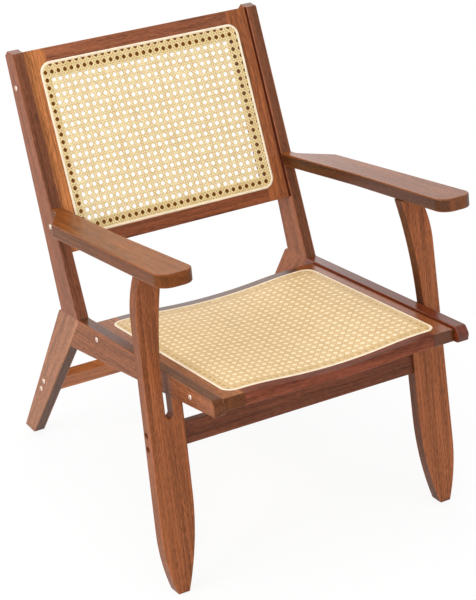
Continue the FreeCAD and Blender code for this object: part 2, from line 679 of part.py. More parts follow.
# Drilling
post = cut_all(post, frame_holes + back_holes + [arm_hole])
rail = cut_all(rail, frame_holes + seat_holes + [prong_hole])
rear_leg = cut_all(rear_leg, frame_holes + rear_holes + glide_holes)
leg = cut_all(leg, leg_holes + front_holes + sinks + glide_holes)
arm = cut_all(arm, leg_holes[1:] + [arm_hole])
bar_holes = front_holes + rear_holes + nut_holes
bar_holes = bar_holes + [mirrored(hole) for hole in bar_holes]
front_bar = cut_all(front_bar, bar_holes)
rear_bar = cut_all(rear_bar, bar_holes)
stile_holes = insert_holes + [mirrored(hole) for hole in insert_holes]

nodes = {}
for name, piece in (("back_post", post), ("side_rail", rail), ("rear_leg", rear_leg),
                    ("front_leg", leg), ("armrest", arm)):
    nodes["right_" + name] = piece
    nodes["left_" + name] = mirrored(piece)
nodes["front_stretcher"] = front_bar
nodes["rear_stretcher"] = rear_bar
for panel_name, panel, low_name, high_name in (("back", back, "bottom_rail", "top_rail"),
                                               ("seat", seat, "front_rail", "rear_rail")):
    nodes[panel_name + "_" + low_name] = panel["low_rail"]
    nodes[panel_name + "_" + high_name] = panel["high_rail"]
    nodes[panel_name + "_left_stile"] = cut_all(panel["left_stile"], stile_holes)
    nodes[panel_name + "_right_stile"] = cut_all(panel["right_stile"], stile_holes)
    nodes[panel_name + "_cane"] = panel["cane"]
    nodes[panel_name + "_spline"] = panel["spline"]
nodes["seat_backing"] = seat["backing"]
nodes["panel_dowels"] = Part.makeCompound(back["dowels"] + seat["dowels"])
nodes["frame_dowels"] = both(frame_dowels)
nodes["leg_dowels"] = both(leg_dowels)
nodes["arm_dowels"] = both([arm_dowel])
nodes["back_panel_bolts"] = both(back_bolts)
nodes["seat_panel_bolts"] = both(seat_bolts)
nodes["rear_stretcher_bolts"] = both(rear_bolts)
nodes["front_stretcher_bolts"] = both(front_bolts)
nodes["panel_inserts"] = both(inserts)
nodes["barrel_nuts"] = both(nuts)
nodes["floor_glides"] = both(glides)

# Origin on the floor under the middle of the chair's box
box = Part.makeCompound(list(nodes.values())).BoundBox
centre = V(0, (box.YMin + box.YMax) / 2, 0)
os.makedirs("parts", exist_ok=True)
for name, shape in nodes.items():
    shape.translate(-centre)
    shape.exportStep("parts/" + name + ".step")
    print(name, len(shape.Solids), "solids", round(shape.Volume / 1000, 2), "cm3", shape.isValid())
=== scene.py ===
import math

import bmesh
import bpy
from mathutils import Euler, Matrix, Vector


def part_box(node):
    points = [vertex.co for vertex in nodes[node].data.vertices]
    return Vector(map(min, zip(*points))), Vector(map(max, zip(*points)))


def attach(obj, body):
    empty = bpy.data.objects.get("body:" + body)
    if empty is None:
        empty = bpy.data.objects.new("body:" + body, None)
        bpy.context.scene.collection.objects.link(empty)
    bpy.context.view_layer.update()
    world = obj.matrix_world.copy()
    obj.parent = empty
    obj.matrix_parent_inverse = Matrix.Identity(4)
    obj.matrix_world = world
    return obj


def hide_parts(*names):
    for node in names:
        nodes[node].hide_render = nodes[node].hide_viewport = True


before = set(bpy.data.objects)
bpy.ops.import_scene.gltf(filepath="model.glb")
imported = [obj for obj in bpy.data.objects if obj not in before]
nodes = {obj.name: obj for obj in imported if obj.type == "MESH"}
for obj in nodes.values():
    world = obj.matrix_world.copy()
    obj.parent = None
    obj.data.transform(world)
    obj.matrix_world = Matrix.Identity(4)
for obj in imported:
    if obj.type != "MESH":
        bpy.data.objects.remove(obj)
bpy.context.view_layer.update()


# Side frames. Each is a leaning back post, a side rail and a splayed rear leg
# of reddish-brown hardwood, dowelled and glued flush in one plane and lacquered.
POST_LEAN = 26.7
RAIL_SLOPE = 7.46
REAR_LEG_SPLAY = 30.5
# The rails' ends are darker for their end grain and with painted shade.
RAIL_END_GRAIN_AND_SHADE = 0.65
RAIL_ROUGHNESS = 0.22

# Noise across and along the fibres, in waves to the metre, its detail and its distortion
GRAIN_BANDS = (60, 1.8, 2.0, 0.5)
GRAIN_STREAKS = (460, 7.0, 3.0, 0.0)
GRAIN_FLECKS = (850, 75.0, 2.0, 0.0)
GRAIN_HARSHNESS = 0.6
STREAK_SHARE = 0.6
FLECK_SHARE = 0.38
GRAIN_TONES = ((0.4, 0.5), (0.6, 1.5))
EDGE_FADE = (0.0035, 0.0008)
DULL_STREAK = 0.08
BRIGHT_STREAK = 0.06
PORE_STRENGTH = 0.15
PORE_DEPTH = 0.0004
PORE_FLECK_SHARE = 0.6


def linear_colour(red, green, blue, strength=1.0):
    """A colour as the eye sees it, 0 to 255, as the linear one that shaders use."""
    def linear(value):
        share = value / 255
        return share / 12.92 if share <= 0.04045 else ((share + 0.055) / 1.055) ** 2.4
    return (linear(red) * strength, linear(green) * strength, linear(blue) * strength, 1.0)


def lacquered_board(piece, tone, grain_turn, flat=0, edge_shade=1.0, end_grain_and_shade=None,
                    roughness=0.32, gloss=0.13):
    """Gives a CAD board stained hardwood of its own tone, with the fibres along one direction.

    grain_turn is the Euler turn in degrees that lays the fibres along the texture's Y, and flat the
    turned axis through the board's broad faces. The tone is set piece by piece, so it holds painted
    light and shade as well as the wood's own colour. The narrow faces are darkened by a share of
    their own, which is painted shade of faces turned from the lamps. The ends are darkened by
    another share, for their end grain and with painted shade. roughness and gloss are its
    lacquer's.
    """
    material = bpy.data.materials.new(piece + "_wood")
    material.use_nodes = True
    tree = material.node_tree
    link = tree.links.new
    surface = tree.nodes["Principled BSDF"]
    place = tree.nodes.new("ShaderNodeTexCoord")
    turn = tree.nodes.new("ShaderNodeMapping")
    angles = [math.radians(angle) for angle in grain_turn]
    turn.inputs["Rotation"].default_value = angles
    link(place.outputs["Object"], turn.inputs["Vector"])

    def fibres(across, along, detail, distortion):
        """Noise drawn out along the fibres."""
        stretch = tree.nodes.new("ShaderNodeMapping")
        stretch.inputs["Scale"].default_value = (across, along, across)
        noise = tree.nodes.new("ShaderNodeTexNoise")
        noise.inputs["Scale"].default_value = 1.0
        noise.inputs["Detail"].default_value = detail
        noise.inputs["Roughness"].default_value = GRAIN_HARSHNESS
        noise.inputs["Distortion"].default_value = distortion
        link(turn.outputs["Vector"], stretch.inputs["Vector"])
        link(stretch.outputs["Vector"], noise.inputs["Vector"])
        return noise.outputs["Fac"]

    def blend(first, second, share):
        """Two noises mixed by a fixed share of the second."""
        mix = tree.nodes.new("ShaderNodeMix")
        mix.inputs["Factor"].default_value = share
        link(first, mix.inputs["A"])
        link(second, mix.inputs["B"])
        return mix.outputs["Result"]

    streaks = fibres(*GRAIN_STREAKS)
    flecks = fibres(*GRAIN_FLECKS)
    grain = blend(blend(fibres(*GRAIN_BANDS), streaks, STREAK_SHARE), flecks, FLECK_SHARE)
    ramp = tree.nodes.new("ShaderNodeValToRGB")
    for element, (level, strength) in zip(ramp.color_ramp.elements, GRAIN_TONES):
        element.position = level
        element.color = linear_colour(*tone, strength)
    link(grain, ramp.inputs["Fac"])

    parts = tree.nodes.new("ShaderNodeSeparateXYZ")
    link(turn.outputs["Vector"], parts.inputs["Vector"])
    turned = Euler(angles).to_matrix()

    def near_faces(axis):
        """One at the two outer faces across a turned axis and nought between them."""
        reaches = [(turned @ corner.co)[axis] for corner in nodes[piece].data.vertices]
        half = (max(reaches) - min(reaches)) / 2
        depth = tree.nodes.new("ShaderNodeMath")
        depth.operation = "SUBTRACT"
        depth.inputs[1].default_value = (max(reaches) + min(reaches)) / 2
        link(parts.outputs[axis], depth.inputs[0])
        size = tree.nodes.new("ShaderNodeMath")
        size.operation = "ABSOLUTE"
        link(depth.outputs["Value"], size.inputs[0])
        rim = tree.nodes.new("ShaderNodeMapRange")
        rim.inputs["From Min"].default_value = half - EDGE_FADE[0]
        rim.inputs["From Max"].default_value = half - EDGE_FADE[1]
        link(size.outputs["Value"], rim.inputs["Value"])
        return rim.outputs["Result"]

    def between(share, low, high):
        """The value low where the share is nought and high where it is one."""
        level = tree.nodes.new("ShaderNodeMix")
        link(share, level.inputs["Factor"])
        for value, socket in ((low, level.inputs["A"]), (high, level.inputs["B"])):
            if isinstance(value, float):
                socket.default_value = value
            else:
                link(value, socket)
        return level.outputs["Result"]

    # Narrow faces and ends are darkened: painted shade, and end grain on the ends.
    sides = between(near_faces(flat), edge_shade, 1.0)
    face_shade = between(near_faces(1), sides, end_grain_and_shade or edge_shade)
    stain = tree.nodes.new("ShaderNodeVectorMath")
    stain.operation = "SCALE"
    link(ramp.outputs["Color"], stain.inputs[0])
    link(face_shade, stain.inputs["Scale"])
    link(stain.outputs["Vector"], surface.inputs["Base Color"])
    surface.inputs["Specular IOR Level"].default_value = gloss

    spread = tree.nodes.new("ShaderNodeMapRange")
    spread.inputs["To Min"].default_value = roughness + DULL_STREAK
    spread.inputs["To Max"].default_value = roughness - BRIGHT_STREAK
    link(streaks, spread.inputs["Value"])
    link(spread.outputs["Result"], surface.inputs["Roughness"])
    relief = tree.nodes.new("ShaderNodeBump")
    relief.inputs["Strength"].default_value = PORE_STRENGTH
    relief.inputs["Distance"].default_value = PORE_DEPTH
    link(blend(streaks, flecks, PORE_FLECK_SHARE), relief.inputs["Height"])
    link(relief.outputs["Normal"], surface.inputs["Normal"])
    nodes[piece].data.materials.clear()
    nodes[piece].data.materials.append(material)


POST_GRAIN = (POST_LEAN - 90, 0, 0)
RAIL_GRAIN = (RAIL_SLOPE, 0, 0)
REAR_LEG_GRAIN = (90 - REAR_LEG_SPLAY, 0, 0)
# Each piece's tone and edge darkening are set one by one and hold painted light and shade; the
# darker edges are painted shade.
for piece, tone, edge_shade in (("left_back_post", (131, 78, 53), 0.82),
                                ("right_back_post", (146, 89, 60), 0.55)):
    lacquered_board(piece, tone, POST_GRAIN, edge_shade=edge_shade)
for piece, tone, edge_shade, gloss in (("left_side_rail", (131, 79, 51), 0.48, 0.07),
                                       ("right_side_rail", (114, 48, 20), 0.72, 0.42)):
    lacquered_board(piece, tone, RAIL_GRAIN, edge_shade=edge_shade, end_grain_and_shade=RAIL_END_GRAIN_AND_SHADE,
                    roughness=RAIL_ROUGHNESS, gloss=gloss)
for piece, tone, edge_shade in (("left_rear_leg", (149, 98, 69), 0.29),
                                ("right_rear_leg", (153, 92, 61), 0.50)):
    lacquered_board(piece, tone, REAR_LEG_GRAIN, edge_shade=edge_shade)


# Front legs. Planks of the same wood that fork around the side rail and sweep in
# to a small foot, dowelled under the rail and under the armrest.
FRONT_LEG_TILT = 12.27
FRONT_LEG_GRAIN = (FRONT_LEG_TILT - 90, 0, 0)
# Their edge darkening is painted shade, set for each leg.
for piece, tone, edge_shade in (("left_front_leg", (140, 81, 48), 0.79),
                                ("right_front_leg", (147, 86, 53), 0.39)):
    lacquered_board(piece, tone, FRONT_LEG_GRAIN, flat=2, edge_shade=edge_shade)


# Stretchers. Straight hardwood bars that tie the two side frames together low down,
# bolted from outside into barrel nuts.
ALONG_X = (0, 0, 90)
# The front stretcher's darker tone is partly painted shade under the seat.
for piece, tone in (("front_stretcher", (110, 63, 43)), ("rear_stretcher", (171, 101, 53))):
    lacquered_board(piece, tone, ALONG_X)


# Armrests. Flared hardwood planks on the front legs and against the posts, dowelled,
# with a smoother lacquer than the legs'.
ARM_SLOPE = 10.3
ARM_GRAIN = (ARM_SLOPE, 0, 0)
# Their edges are darkened with painted shade, their ends for end grain and with painted shade.
ARM_END_GRAIN_AND_SHADE = 0.75
ARM_ROUGHNESS = 0.26
for piece, tone, edge_shade, gloss in (("left_armrest", (131, 73, 33), 0.57, 0.11),
                                       ("right_armrest", (127, 70, 33), 0.36, 0.28)):
    lacquered_board(piece, tone, ARM_GRAIN, flat=2, edge_shade=edge_shade, end_grain_and_shade=ARM_END_GRAIN_AND_SHADE,
                    roughness=ARM_ROUGHNESS, gloss=gloss)


# Back panel frame. Two rails dowelled between two stiles, of a more orange wood,
# bolted between the posts.
for piece, tone in (("back_bottom_rail", (124, 69, 43)), ("back_top_rail", (137, 81, 55))):
    lacquered_board(piece, tone, ALONG_X)
for piece, tone in (("back_left_stile", (174, 109, 63)), ("back_right_stile", (148, 86, 51))):
    lacquered_board(piece, tone, POST_GRAIN)


# Seat panel frame. Made as the back's, with its rails hollowed across the middle,
# and bolted between the side rails, a little below their tops.
SEAT_RAIL_GRAIN = (RAIL_SLOPE, 0, 90)
# The rails' edges are darkened with painted shade, the stiles' ends for end grain and with painted
# shade.
SEAT_RAIL_EDGE_SHADE = 0.84
SEAT_STILE_END_GRAIN_AND_SHADE = 0.42
SEAT_STILE_ROUGHNESS = 0.24
for piece, tone, gloss in (("seat_front_rail", (118, 64, 46), 0.05),
                           ("seat_rear_rail", (91, 51, 26), 0.32)):
    lacquered_board(piece, tone, SEAT_RAIL_GRAIN, edge_shade=SEAT_RAIL_EDGE_SHADE, gloss=gloss)
for piece, tone, gloss in (("seat_left_stile", (154, 96, 62), 0.04),
                           ("seat_right_stile", (133, 71, 34), 0.36)):
    lacquered_board(piece, tone, RAIL_GRAIN, end_grain_and_shade=SEAT_STILE_END_GRAIN_AND_SHADE,
                    roughness=SEAT_STILE_ROUGHNESS, gloss=gloss)


# Back cane. Split cane woven six ways: pairs up and across and single strands on
# both slants, which leaves rows of eight-sided holes. Its edge is pressed in a groove
# of the frame, whose ledge under the outer rows is painted dark: painted shade cast by the cane.
STRAND_WIDTH = 0.0027
SLANT_WIDTH = 0.0029
STRAND_THICKNESS = 0.0005
STRAND_LIFT = 0.00027
PAIR_HALF = 0.00195
PANEL_THICKNESS = 0.025
CANE_THICKNESS = 0.0012
CROWN_FACING = 0.1
TONE_STEP = 0.618
GRID_STEPS = 80
SPARE_CELLS = 2
SPARE_SLANTS = 3
TRIM_CUTS = 16
SHADE_SPECK_SCALE = 650.0
SHADE_SPECK_RANGE = (0.42, 0.58)
MOTTLE_SCALE = 90.0
MOTTLE_DETAIL = 3.0
MOTTLE_SHARE = 0.6
CANE_RANGE = (0.2, 0.8)
CANE_ROUGHNESS = 0.42


def cane_strand(cells, pitch, crossings, width):
    """Mesh of a strand along Y, flat below and crowned, that rises and dips at its crossings."""
    rings = [((cell + share) * pitch, lift * STRAND_LIFT)
             for cell in range(-cells, cells + 1) for share, lift in crossings]
    strand = bmesh.new()
    bmesh.ops.create_cone(strand, cap_ends=True, segments=3, radius1=1, radius2=1, depth=1)
    lengthwise = [edge for edge in strand.edges
                  if abs(edge.verts[0].co.z - edge.verts[1].co.z) > 0.5]
    bmesh.ops.subdivide_edges(strand, edges=lengthwise, cuts=len(rings) - 2)
    for corner in strand.verts:
        along, lift = rings[round((corner.co.z + 0.5) * (len(rings) - 1))]
        side = round(corner.co.x / math.sin(math.radians(60)))
        crown = 0.5 if side == 0 else -0.5
        corner.co = (side * width / 2, along, lift + crown * STRAND_THICKNESS)
    bmesh.ops.recalc_face_normals(strand, faces=strand.faces[:])
    for face in strand.faces:
        face.smooth = face.normal.z > CROWN_FACING
    for edge in strand.edges:
        edge.smooth = all(face.smooth for face in edge.link_faces)
    mesh = bpy.data.meshes.new("strand")
    strand.to_mesh(mesh)
    strand.free()
    return mesh


def lay_strands(web, mesh, places, turn):
    """Copies of a strand, moved to places and turned about Z, with a tone of their own."""
    tone = web.verts.layers.float.get("tone") or web.verts.layers.float.new("tone")
    for number, (x, y) in enumerate(places):
        before = len(web.verts)
        web.from_mesh(mesh)
        web.verts.ensure_lookup_table()
        fresh = web.verts[before:]
        bmesh.ops.transform(web, verts=fresh, matrix=Matrix.Translation((x, y, 0)) @ turn)
        for corner in fresh:
            corner[tone] = (number * TONE_STEP) % 1.0


def woven_cane(across, along, first_hole, half_width, half_length):
    """Flat weave about the origin with pitches across and along; first_hole is a hole's place."""
    web = bmesh.new()
    pair = PAIR_HALF
    up_share, side_share = pair / along, pair / across
    cells = math.ceil(half_length / along) + SPARE_CELLS
    rows = math.ceil(half_width / across) + SPARE_CELLS
    slant = math.hypot(across, along)
    up_left = [(-up_share, -1), (up_share, 1), (0.5 - side_share, -1), (0.5 + side_share, 1)]
    up_right = [(share, -lift) for share, lift in up_left]
    cross_low = [(-side_share, 1), (side_share, -1), (0.5 - up_share, 1), (0.5 + up_share, -1)]
    cross_high = [(share, -lift) for share, lift in cross_low]
    slant_over = [(-side_share, 1), (side_share, 1), (0.5 - up_share, -1), (0.5 + up_share, -1)]
    slant_under = [(share, -lift) for share, lift in slant_over]
    knot_x, knot_y = first_hole[0] - across / 2, first_hole[1] - along / 2

    def grid(start, pitch, shift, limit):
        """Places at a pitch on both sides of a start, as far as the limit."""
        found = [start + shift + pitch * step for step in range(-GRID_STEPS, GRID_STEPS)]
        return [value for value in found if abs(value) < limit]

    for shift, crossings in ((-pair, up_left), (pair, up_right)):
        strand = cane_strand(cells, along, crossings, STRAND_WIDTH)
        places = [(x, knot_y - round(knot_y / along) * along)
                  for x in grid(knot_x, across, shift, half_width)]
        lay_strands(web, strand, places, Matrix.Identity(4))
    quarter = Matrix.Rotation(math.radians(-90), 4, "Z")
    for shift, crossings in ((-pair, cross_low), (pair, cross_high)):
        strand = cane_strand(rows, across, crossings, STRAND_WIDTH)
        places = [(knot_x - round(knot_x / across) * across, y)
                  for y in grid(knot_y, along, shift, half_length)]
        lay_strands(web, strand, places, quarter)
    lean = math.atan2(across, along)
    reach = half_width + half_length * across / along + across * SPARE_SLANTS
    for hand, crossings in ((-1, slant_over), (1, slant_under)):
        strand = cane_strand(cells, slant, crossings, SLANT_WIDTH)
        middle = (knot_y + along / 2) - round(knot_y / along) * along
        places = [(x, middle) for x in grid(knot_x, across, 0, reach)]
        lay_strands(web, strand, places, Matrix.Rotation(hand * lean, 4, "Z"))
    return web


def pull_askew(web, shift, widening, lean):
    """Lays the weave as it was pressed in by hand: shifted, wider to the right and leaning."""
    for corner in web.verts:
        x, y = corner.co.x, corner.co.y
        corner.co.x = x + shift + widening * x ** 2 + lean * y


def trim_to_groove(web, half_width, half_length, radius):
    """Cuts the weave off along a rounded rectangle and closes the strands' ends."""
    for step in range(TRIM_CUTS):
        angle = math.radians(step * 360 / TRIM_CUTS)
        normal = Vector((math.cos(angle), math.sin(angle), 0))
        inner = Vector((math.copysign(half_width - radius, normal.x),
                        math.copysign(half_length - radius, normal.y), 0))
        bmesh.ops.bisect_plane(web, geom=web.verts[:] + web.edges[:] + web.faces[:], dist=1e-7,
                               plane_co=inner + normal * radius, plane_no=normal, clear_outer=True)
    ends = [edge for edge in web.edges if edge.is_boundary]
    bmesh.ops.holes_fill(web, edges=ends, sides=8)


def panel_matrix(panel, angle):
    """Place of a panel's show face: x across, y along, z out, about the panel's middle."""
    low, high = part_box(panel + "_left_stile")
    middle = (low + high) / 2
    middle.x = 0
    turn = Matrix.Rotation(math.radians(angle), 4, "X")
    return Matrix.Translation(middle) @ turn @ Matrix.Translation((0, 0, PANEL_THICKNESS / 2))


def paint_ledge_and_shade(piece, panel_place, half_width, half_length, radius, dark, light):
    """Another, speckled colour for what a board shows inside a rounded rectangle about a panel.

    That is painted shade: the cane's on a panel board's ledge, and the corner's on a post's face
    beside the panel. Under the seat cane it is a pale ledge whose dark specks are painted shade
    between the strands.
    """
    tree = nodes[piece].data.materials[0].node_tree
    link = tree.links.new
    base = tree.nodes["Principled BSDF"].inputs["Base Color"]
    place = tree.nodes.new("ShaderNodeTexCoord")
    flat = tree.nodes.new("ShaderNodeMapping")
    flat.vector_type = "TEXTURE"
    flat.inputs["Location"].default_value = panel_place.to_translation()
    flat.inputs["Rotation"].default_value = panel_place.to_euler()
    link(place.outputs["Object"], flat.inputs["Vector"])
    spot = flat.outputs["Vector"]
    none = (0, 0, 0)
    corner = (half_width - radius, half_length - radius, 0)
    for operation, value in (("ABSOLUTE", none), ("SUBTRACT", corner), ("MAXIMUM", none),
                             ("MULTIPLY", (1, 1, 0)), ("LENGTH", none)):
        step = tree.nodes.new("ShaderNodeVectorMath")
        step.operation = operation
        step.inputs[1].default_value = value
        link(spot, step.inputs[0])
        spot = step.outputs["Value" if operation == "LENGTH" else "Vector"]
    inside = tree.nodes.new("ShaderNodeMath")
    inside.operation = "LESS_THAN"
    inside.inputs[1].default_value = radius
    link(spot, inside.inputs[0])
    parts = tree.nodes.new("ShaderNodeSeparateXYZ")
    link(flat.outputs["Vector"], parts.inputs["Vector"])
    above = tree.nodes.new("ShaderNodeMath")
    above.operation = "GREATER_THAN"
    above.inputs[1].default_value = -PANEL_THICKNESS / 2
    link(parts.outputs["Z"], above.inputs[0])
    both = tree.nodes.new("ShaderNodeMath")
    both.operation = "MULTIPLY"
    link(inside.outputs["Value"], both.inputs[0])
    link(above.outputs["Value"], both.inputs[1])
    # Specks of painted shade.
    shade_specks = tree.nodes.new("ShaderNodeTexNoise")
    shade_specks.inputs["Scale"].default_value = SHADE_SPECK_SCALE
    link(place.outputs["Object"], shade_specks.inputs["Vector"])
    ramp = tree.nodes.new("ShaderNodeValToRGB")
    for element, level, colour in zip(ramp.color_ramp.elements, SHADE_SPECK_RANGE, (dark, light)):
        element.position = level
        element.color = linear_colour(*colour)
    link(shade_specks.outputs["Fac"], ramp.inputs["Fac"])
    mix = tree.nodes.new("ShaderNodeMix")
    mix.data_type = "RGBA"
    link(both.outputs["Value"], mix.inputs["Factor"])
    first_colour, second_colour, mixed_colour = mix.inputs[6], mix.inputs[7], mix.outputs[2]
    link(base.links[0].from_socket, first_colour)
    link(ramp.outputs["Color"], second_colour)
    link(mixed_colour, base)


def finished_piece(name, mesh, material, slot, *replaced):
    """Object of a finished bmesh that rides on the chair and stands for CAD nodes."""
    data = bpy.data.meshes.new(name)
    mesh.to_mesh(data)
    mesh.free()
    data.materials.append(material)
    piece = bpy.data.objects.new(name, data)
    bpy.context.scene.collection.objects.link(piece)
    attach(piece, "root")
    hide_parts(*replaced)


def split_cane(name, dark, light):
    """Natural cane: a tone for each strand, a faint mottle and a waxy skin."""
    material = bpy.data.materials.new(name)
    material.use_nodes = True
    tree = material.node_tree
    link = tree.links.new
    surface = tree.nodes["Principled BSDF"]
    tone = tree.nodes.new("ShaderNodeAttribute")
    tone.attribute_name = "tone"
    place = tree.nodes.new("ShaderNodeTexCoord")
    mottle = tree.nodes.new("ShaderNodeTexNoise")
    mottle.inputs["Scale"].default_value = MOTTLE_SCALE
    mottle.inputs["Detail"].default_value = MOTTLE_DETAIL
    link(place.outputs["Object"], mottle.inputs["Vector"])
    share = tree.nodes.new("ShaderNodeMix")
    share.inputs["Factor"].default_value = MOTTLE_SHARE
    link(tone.outputs["Fac"], share.inputs["A"])
    link(mottle.outputs["Fac"], share.inputs["B"])
    ramp = tree.nodes.new("ShaderNodeValToRGB")
    for element, level, colour in zip(ramp.color_ramp.elements, CANE_RANGE, (dark, light)):
        element.position = level
        element.color = linear_colour(*colour)
    link(share.outputs["Result"], ramp.inputs["Fac"])
    link(ramp.outputs["Color"], surface.inputs["Base Color"])
    surface.inputs["Roughness"].default_value = CANE_ROUGHNESS
    return material


BACK_HALF = (0.2287, 0.1741)
BACK_CORNER = 0.0211
BACK_PITCH = (0.01537, 0.01583)
BACK_FIRST_HOLE = (-0.2152, -0.1613)
BACK_SHIFT = -0.0104
BACK_WIDENING = 0.1331
BACK_LEAN = -0.0105
CANE_REACH = 0.25
POST_INNER_HALF = (0.2606, 0.205)
POST_INNER_CORNER = 0.001
back_web = woven_cane(*BACK_PITCH, BACK_FIRST_HOLE, CANE_REACH, CANE_REACH)
pull_askew(back_web, BACK_SHIFT, BACK_WIDENING, BACK_LEAN)
trim_to_groove(back_web, *BACK_HALF, BACK_CORNER)
back_place = panel_matrix("back", 90 - POST_LEAN)
bmesh.ops.transform(back_web, verts=back_web.verts[:],
                    matrix=back_place @ Matrix.Translation((0, 0, CANE_THICKNESS / 2)))
# The back's cane is toned a little lighter than the seat's: partly its own tone, partly painted
# light from behind.
cane_finish = split_cane("cane_finish", (209, 178, 120), (233, 213, 160))
finished_piece("back_cane_weave", back_web, cane_finish, "cane", "back_cane")
# The frame's ledge under the cane is painted dark brown: painted shade cast by the cane.
for piece in ("back_bottom_rail", "back_top_rail", "back_left_stile", "back_right_stile"):
    paint_ledge_and_shade(piece, back_place, *BACK_HALF, BACK_CORNER, (88, 44, 4), (122, 72, 10))
# The posts' faces in the recess beside the panel are painted dark: painted shade in the corner.
for piece in ("left_back_post", "right_back_post"):
    paint_ledge_and_shade(piece, back_place, *POST_INNER_HALF, POST_INNER_CORNER, (62, 22, 12), (92, 42, 26))


# Seat cane. The same webbing, pressed in the seat's groove and laid over its hollow.
# The frame's ledge under the outer rows is painted pale, with dark specks of painted shade between
# the strands.
SEAT_HALF = (0.2342, 0.22285)
SEAT_PITCH = (0.01545, 0.01703)
SEAT_FIRST_HOLE = (-0.20085, -0.1950)
SEAT_SHIFT = 0.0013
SEAT_WIDENING = 0.104
SEAT_HOLLOWS = (0.0105, 0.010)
HOLLOW_HALF = 0.2121
HOLLOW_MIDDLE = 0.58
RAIL_INNER = 0.19825


def hollow_depth(x, hollow):
    """Depth of a hollow: an arc in its middle and one at each side that runs out level."""
    spread = HOLLOW_HALF / math.sin(2 * math.atan(hollow / HOLLOW_HALF))
    if x < HOLLOW_MIDDLE * HOLLOW_HALF:
        radius = HOLLOW_MIDDLE * spread
        return hollow - radius + math.sqrt(radius ** 2 - x ** 2)
    radius = (1 - HOLLOW_MIDDLE) * spread
    return radius - math.sqrt(radius ** 2 - max(HOLLOW_HALF - x, 0) ** 2)


def hollow_out(piece):
    """Sinks a flat piece to the seat's surface, whose hollow changes from front to rear."""
    for corner in piece.verts:
        back = min(max(corner.co.y / RAIL_INNER, -1), 1) / 2 + 0.5
        for hollow, share in zip(SEAT_HOLLOWS, (1 - back, back)):
            corner.co.z -= share * hollow_depth(abs(corner.co.x), hollow)


seat_web = woven_cane(*SEAT_PITCH, SEAT_FIRST_HOLE, CANE_REACH, CANE_REACH)
pull_askew(seat_web, SEAT_SHIFT, SEAT_WIDENING, 0)
trim_to_groove(seat_web, *SEAT_HALF, BACK_CORNER)
hollow_out(seat_web)
seat_place = panel_matrix("seat", -RAIL_SLOPE)
bmesh.ops.transform(seat_web, verts=seat_web.verts[:],
                    matrix=seat_place @ Matrix.Translation((0, 0, CANE_THICKNESS / 2)))
seat_cane_finish = split_cane("seat_cane_finish", (211, 176, 120), (229, 196, 141))
finished_piece("seat_cane_weave", seat_web, seat_cane_finish, "cane", "seat_cane")
# The ledge is pale; its dark specks are painted shade between the strands.
for piece in ("seat_front_rail", "seat_rear_rail", "seat_left_stile", "seat_right_stile"):
    paint_ledge_and_shade(piece, seat_place, *SEAT_HALF, BACK_CORNER, (156, 124, 80), (240, 210, 156))


# Seat backing. A thin board painted cream, glued into the seat's frame under the cane
# so that nothing below shows through the holes.
BACKING_DARK = (250, 226, 186)
BACKING_LIGHT = (255, 238, 206)
BRUSH_SCALE = 40.0
BACKING_ROUGHNESS = 0.6


def mottled_finish(name, dark, light, scale, roughness, levels=(0.0, 1.0)):
    """A finish that wavers between two tones; scale is the waves to the metre."""
    material = bpy.data.materials.new(name)
    material.use_nodes = True
    tree = material.node_tree
    surface = tree.nodes["Principled BSDF"]
    place = tree.nodes.new("ShaderNodeTexCoord")
    mottle = tree.nodes.new("ShaderNodeTexNoise")
    mottle.inputs["Scale"].default_value = scale
    tree.links.new(place.outputs["Object"], mottle.inputs["Vector"])
    ramp = tree.nodes.new("ShaderNodeValToRGB")
    for element, level, colour in zip(ramp.color_ramp.elements, levels, (dark, light)):
        element.position = level
        element.color = linear_colour(*colour)
    tree.links.new(mottle.outputs["Fac"], ramp.inputs["Fac"])
    tree.links.new(ramp.outputs["Color"], surface.inputs["Base Color"])
    surface.inputs["Roughness"].default_value = roughness
    return material


def dress(material, *names):
    """Gives CAD nodes a finish."""
    for name in names:
        nodes[name].data.materials.clear()
        nodes[name].data.materials.append(material)


backing_paint = mottled_finish("backing_paint", BACKING_DARK, BACKING_LIGHT, BRUSH_SCALE,
                               BACKING_ROUGHNESS)
dress(backing_paint, "seat_backing")


# Splines. A reed cord with a round top, glued into the groove over the cane's edge
# all the way round each panel.
SPLINE_WIDTH = 0.0058
SPLINE_CROWN = 0.0016
SPLINE_DEPTH = 0.0058
SPLINE_CORNER = 0.024
CORNER_STEPS = 10
CROWN_STEPS = 6
SIDE_CUTS = 31
REED_FACING = 0.05
REED = (250, 232, 204)
REED_SHADE = 0.93
REED_SCALE = 60.0
REED_LEVELS = (0.3, 0.7)
REED_ROUGHNESS = 0.5


